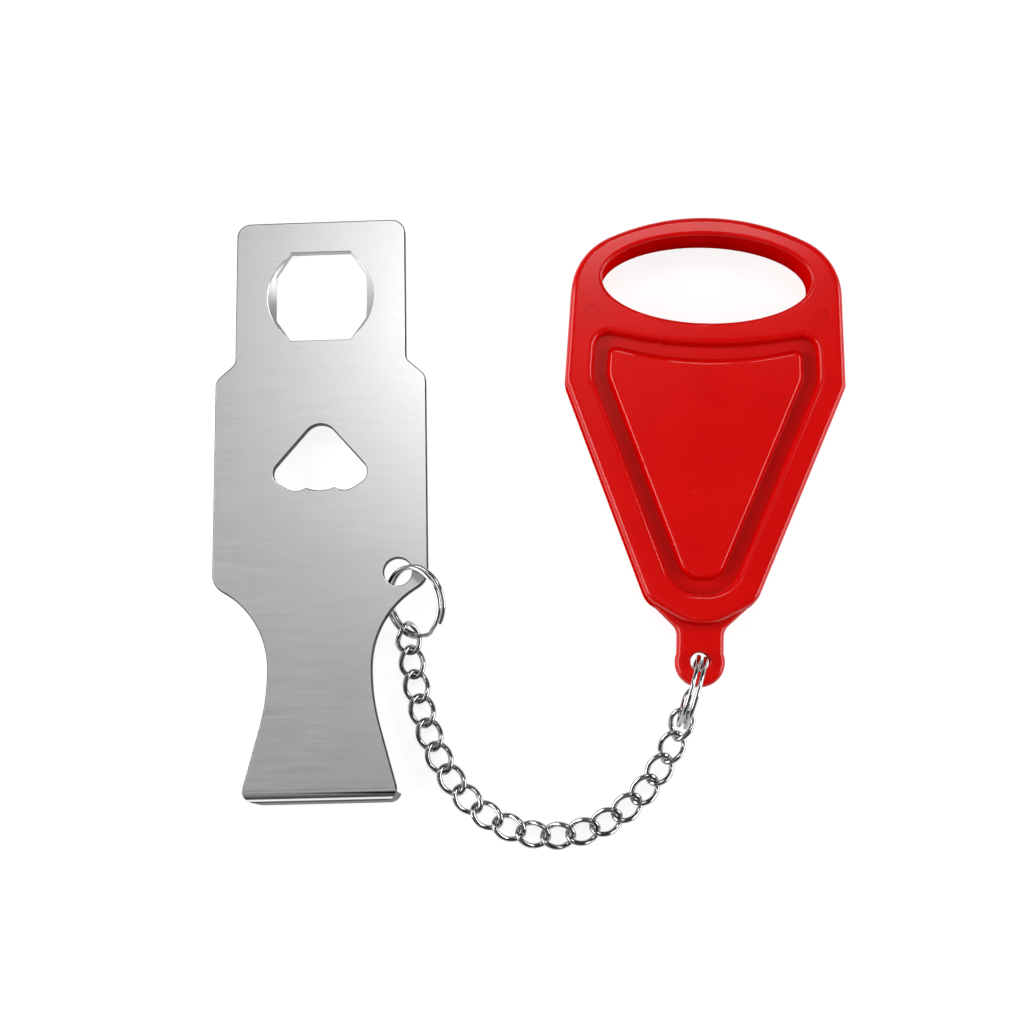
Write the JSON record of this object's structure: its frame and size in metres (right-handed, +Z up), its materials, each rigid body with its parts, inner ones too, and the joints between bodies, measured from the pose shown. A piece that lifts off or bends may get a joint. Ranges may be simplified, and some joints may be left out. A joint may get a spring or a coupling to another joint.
{
  "type": "portable door lock",
  "caption": "Flat steel door plate with a claw, a key hole and an opener hole, chained through split rings to a moulded wedge handle.",
  "frame": {"origin": "centre of the bounding box seen from above, at the height of the table the pieces lie on", "axes": "+Z up from the table, +Y from the claw end of the plate to its head end, +X from the plate to the handle"},
  "size_m": [0.1242, 0.1256, 0.0145],
  "materials": {
    "plate_steel": "brushed across its width",
    "ring_steel": "nickel plated",
    "chain_steel": "nickel plated",
    "handle_plastic": "satin moulded"
  },
  "bodies": {
    "door_plate": {"door_plate": "plate_steel"},
    "plate_ring": {"plate_ring": "ring_steel"},
    "chain_link_01": {"chain_link_01": "chain_steel"},
    "chain_link_02": {"chain_link_02": "chain_steel"},
    "chain_link_03": {"chain_link_03": "chain_steel"},
    "chain_link_04": {"chain_link_04": "chain_steel"},
    "chain_link_05": {"chain_link_05": "chain_steel"},
    "chain_link_06": {"chain_link_06": "chain_steel"},
    "chain_link_07": {"chain_link_07": "chain_steel"},
    "chain_link_08": {"chain_link_08": "chain_steel"},
    "chain_link_09": {"chain_link_09": "chain_steel"},
    "chain_link_10": {"chain_link_10": "chain_steel"},
    "chain_link_11": {"chain_link_11": "chain_steel"},
    "chain_link_12": {"chain_link_12": "chain_steel"},
    "chain_link_13": {"chain_link_13": "chain_steel"},
    "chain_link_14": {"chain_link_14": "chain_steel"},
    "chain_link_15": {"chain_link_15": "chain_steel"},
    "chain_link_16": {"chain_link_16": "chain_steel"},
    "chain_link_17": {"chain_link_17": "chain_steel"},
    "chain_link_18": {"chain_link_18": "chain_steel"},
    "chain_link_19": {"chain_link_19": "chain_steel"},
    "handle_ring": {"handle_ring": "ring_steel"},
    "wedge_handle": {"wedge_handle": "handle_plastic"}
  },
  "joints": [
    {"name": "plate_ring_swing", "type": "hinge", "parent": "door_plate", "child": "plate_ring", "pos_m": [-0.025, -0.00968, 0.00658], "axis": [0.6192, 0.4603, 0.6362], "range_deg": [-14, 40]},
    {"name": "chain_link_01_swing", "type": "hinge", "parent": "plate_ring", "child": "chain_link_01", "pos_m": [-0.02329, -0.02125, 0.00436], "axis": [0.8911, 0.2646, -0.3688], "range_deg": [-20, 40]},
    {"name": "chain_link_02_turn", "type": "hinge", "parent": "chain_link_01", "child": "chain_link_02", "pos_m": [-0.02295, -0.02452, 0.00283], "axis": [0, 0, 1], "range_deg": [-12, 8]},
    {"name": "chain_link_03_tilt", "type": "hinge", "parent": "chain_link_02", "child": "chain_link_03", "pos_m": [-0.02221, -0.02918, 0.00168], "axis": [0.983, 0.1835, 0], "range_deg": [-18, 18]},
    {"name": "chain_link_04_turn", "type": "hinge", "parent": "chain_link_03", "child": "chain_link_04", "pos_m": [-0.0212, -0.03391, 0.00144], "axis": [0, 0, -1], "range_deg": [-8, 18]},
    {"name": "chain_link_05_tilt", "type": "hinge", "parent": "chain_link_04", "child": "chain_link_05", "pos_m": [-0.01989, -0.03859, 0.00144], "axis": [-0.9519, -0.3065, 0], "range_deg": [-18, 18]},
    {"name": "chain_link_06_turn", "type": "hinge", "parent": "chain_link_05", "child": "chain_link_06", "pos_m": [-0.01823, -0.04314, 0.00144], "axis": [0, 0, 1], "range_deg": [-24, 8]},
    {"name": "chain_link_07_tilt", "type": "hinge", "parent": "chain_link_06", "child": "chain_link_07", "pos_m": [-0.01608, -0.04749, 0.00144], "axis": [0.8621, 0.5068, 0], "range_deg": [-18, 18]},
    {"name": "chain_link_08_turn", "type": "hinge", "parent": "chain_link_07", "child": "chain_link_08", "pos_m": [-0.01333, -0.05148, 0.00144], "axis": [0, 0, -1], "range_deg": [-8, 28]},
    {"name": "chain_link_09_tilt", "type": "hinge", "parent": "chain_link_08", "child": "chain_link_09", "pos_m": [-0.00991, -0.05492, 0.00144], "axis": [-0.6368, -0.7711, 0], "range_deg": [-18, 18]},
    {"name": "chain_link_10_turn", "type": "hinge", "parent": "chain_link_09", "child": "chain_link_10", "pos_m": [-0.00588, -0.05763, 0.00144], "axis": [0, 0, 1], "range_deg": [-28, 8]},
    {"name": "chain_link_11_tilt", "type": "hinge", "parent": "chain_link_10", "child": "chain_link_11", "pos_m": [-0.00138, -0.05944, 0.00144], "axis": [0.2698, 0.9629, 0], "range_deg": [-18, 18]},
    {"name": "chain_link_12_turn", "type": "hinge", "parent": "chain_link_11", "child": "chain_link_12", "pos_m": [0.0034, -0.06023, 0.00144], "axis": [0, 0, -1], "range_deg": [-8, 28]},
    {"name": "chain_link_13_tilt", "type": "hinge", "parent": "chain_link_12", "child": "chain_link_13", "pos_m": [0.00825, -0.05994, 0.00144], "axis": [0.1702, -0.9854, 0], "range_deg": [-18, 18]},
    {"name": "chain_link_14_turn", "type": "hinge", "parent": "chain_link_13", "child": "chain_link_14", "pos_m": [0.0129, -0.05859, 0.00144], "axis": [0, 0, 1], "range_deg": [-28, 8]},
    {"name": "chain_link_15_tilt", "type": "hinge", "parent": "chain_link_14", "child": "chain_link_15", "pos_m": [0.01717, -0.05628, 0.00144], "axis": [-0.5585, 0.8295, 0], "range_deg": [-18, 18]},
    {"name": "chain_link_16_turn", "type": "hinge", "parent": "chain_link_15", "child": "chain_link_16", "pos_m": [0.02091, -0.05319, 0.00144], "axis": [0, 0, -1], "range_deg": [-8, 28]},
    {"name": "chain_link_17_tilt", "type": "hinge", "parent": "chain_link_16", "child": "chain_link_17", "pos_m": [0.02408, -0.04952, 0.00144], "axis": [0.8018, -0.5976, 0], "range_deg": [-18, 18]},
    {"name": "chain_link_18_turn", "type": "hinge", "parent": "chain_link_17", "child": "chain_link_18", "pos_m": [0.02669, -0.04544, 0.00144], "axis": [0, 0, 1], "range_deg": [-28, 8]},
    {"name": "chain_link_19_tilt", "type": "hinge", "parent": "chain_link_18", "child": "chain_link_19", "pos_m": [0.02876, -0.0411, 0.00212], "axis": [-0.9256, 0.3785, 0], "range_deg": [-14, 18]},
    {"name": "handle_ring_tilt", "type": "hinge", "parent": "chain_link_19", "child": "handle_ring", "pos_m": [0.02988, -0.03784, 0.00304], "axis": [-0.9568, 0.2907, 0], "range_deg": [-12, 60]},
    {"name": "wedge_handle_turn", "type": "hinge", "parent": "handle_ring", "child": "wedge_handle", "pos_m": [0.03315, -0.02707, 0.00489], "axis": [0, 0, -1], "range_deg": [-20, 75]}
  ]
}
